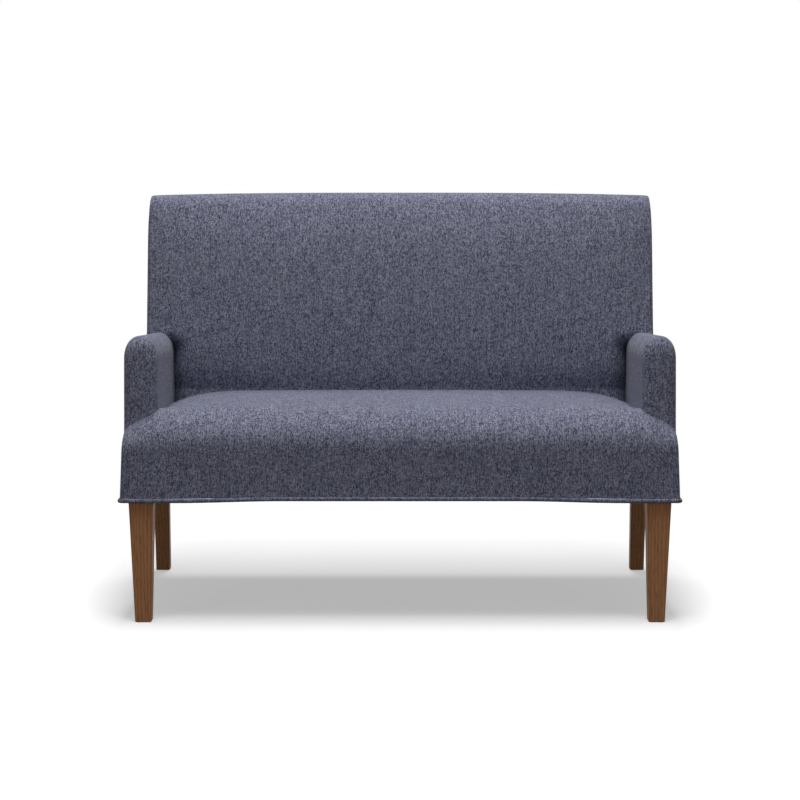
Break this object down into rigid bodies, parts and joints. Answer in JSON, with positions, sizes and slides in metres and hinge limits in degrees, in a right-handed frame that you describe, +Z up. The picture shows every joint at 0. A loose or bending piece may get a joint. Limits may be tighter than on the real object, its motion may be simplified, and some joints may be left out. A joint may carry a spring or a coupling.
{
  "type": "high back settee",
  "caption": "High back settee with a tight leaning back, a crowned seat that rounds out in front of two narrow padded arms, a corded hem and square tapered wooden legs, the rear ones raked.",
  "frame": {"origin": "on the floor under the middle of the plan: the bottom centre of the bounding box", "axes": "+X along the width, to the right of someone who looks at the front; +Y from the front to the back; +Z up"},
  "size_m": [1.329, 0.7077, 1.012],
  "materials": {
    "fabric": "heathered blue-grey woven upholstery fabric, matt",
    "foam": "cut polyurethane foam, matt",
    "hardwood": "sawn frame hardwood, unfinished",
    "leg_wood": "mid-brown stained hardwood, satin lacquer",
    "steel": "oil-tempered wire and plain steel",
    "felt": "dark bonded felt and spun cloth",
    "webbing": "black elastic webbing",
    "board": "thin brown fibreboard"
  },
  "bodies": {
    "root": {"front_rail": "hardwood", "rear_rail": "hardwood", "side_rail_right": "hardwood", "side_rail_left": "hardwood", "seat_brace": "hardwood", "corner_block_front_right": "hardwood", "corner_block_front_left": "hardwood", "corner_block_rear_right": "hardwood", "corner_block_rear_left": "hardwood", "back_post_right": "hardwood", "back_post_left": "hardwood", "back_top_rail": "hardwood", "back_tack_rail": "hardwood", "back_upright": "hardwood", "arm_post_right": "hardwood", "arm_post_left": "hardwood", "arm_top_rail_right": "hardwood", "arm_top_rail_left": "hardwood", "arm_tack_rail_right": "hardwood", "arm_tack_rail_left": "hardwood", "arm_panel_right": "board", "arm_panel_left": "board", "leg_front_right": "leg_wood", "leg_front_left": "leg_wood", "leg_rear_right": "leg_wood", "leg_rear_left": "leg_wood", "leg_bolt_front_right": "steel", "leg_bolt_front_left": "steel", "leg_bolt_rear_right": "steel", "leg_bolt_rear_left": "steel", "seat_spring_1": "steel", "seat_spring_2": "steel", "seat_spring_3": "steel", "seat_spring_4": "steel", "seat_spring_5": "steel", "seat_spring_6": "steel", "seat_spring_7": "steel", "seat_spring_8": "steel", "spring_pad": "felt", "back_web_1": "webbing", "back_web_2": "webbing", "back_web_3": "webbing", "back_web_4": "webbing", "back_web_5": "webbing", "back_web_6": "webbing", "seat_foam": "foam", "seat_cover": "fabric", "back_foam": "foam", "back_cover": "fabric", "back_rear_panel": "fabric", "arm_foam_right": "foam", "arm_foam_left": "foam", "arm_cover_right": "fabric", "arm_cover_left": "fabric", "hem_cord": "fabric", "dust_cover": "felt"}
  },
  "joints": []
}
